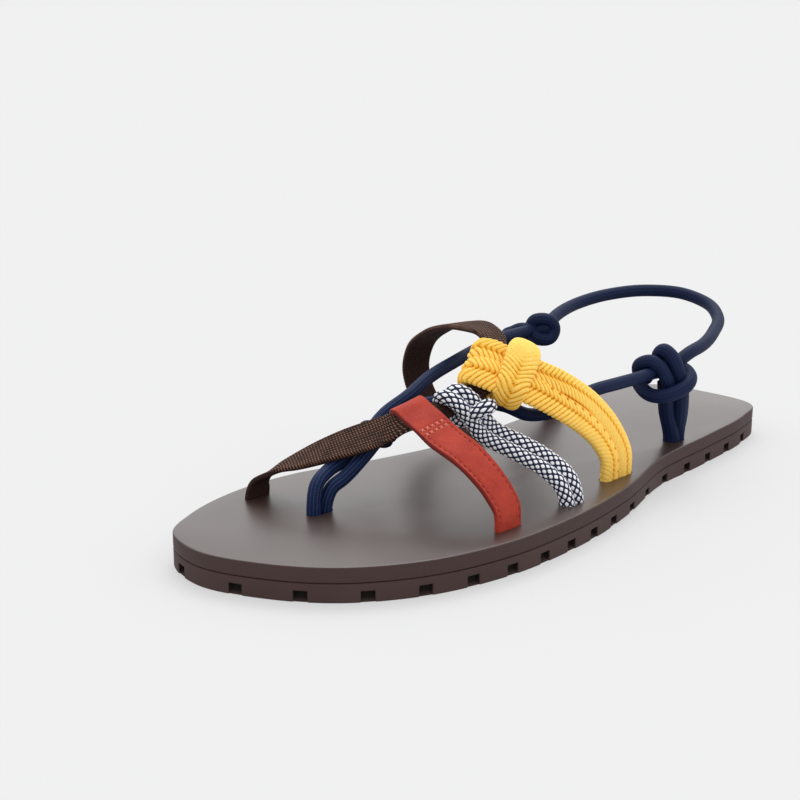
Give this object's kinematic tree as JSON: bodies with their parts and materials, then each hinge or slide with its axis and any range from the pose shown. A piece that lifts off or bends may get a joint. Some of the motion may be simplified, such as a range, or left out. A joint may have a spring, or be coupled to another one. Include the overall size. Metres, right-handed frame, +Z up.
{
  "type": "flat sandal",
  "caption": "Left flat sandal with a notched rubber outsole, a smooth footbed and an open upper of webbing, leather, checked cord, braid and knotted cords that end in a heel loop.",
  "frame": {"origin": "on the floor, under the middle of the sole's length and width", "axes": "+Y runs from the toe to the heel, +X points to the lateral side of this left shoe, +Z is up"},
  "size_m": [0.1069, 0.285, 0.066],
  "materials": {
    "outsole_rubber": "dark brown moulded rubber, matte",
    "footbed_rubber": "warm grey-brown smooth rubber, soft satin",
    "brown_webbing": "dark brown twill webbing with tan flecks",
    "red_leather": "red nubuck leather with edge stitching",
    "check_cord": "white cord sheath with a dark diamond lattice",
    "yellow_braid": "golden yellow flat herringbone braid",
    "navy_cord": "navy braided cord, matte"
  },
  "bodies": {
    "root": {"outsole": "outsole_rubber", "footbed": "footbed_rubber", "webbing_strap": "brown_webbing", "leather_strap": "red_leather", "check_cord": "check_cord", "braid_strap": "yellow_braid", "toe_cord_lateral": "navy_cord", "toe_cord_medial": "navy_cord", "toe_cord_knot": "navy_cord", "heel_anchor_lateral": "navy_cord", "heel_anchor_medial": "navy_cord", "heel_knot_lateral": "navy_cord", "heel_knot_medial": "navy_cord", "heel_cord": "navy_cord"}
  },
  "joints": []
}
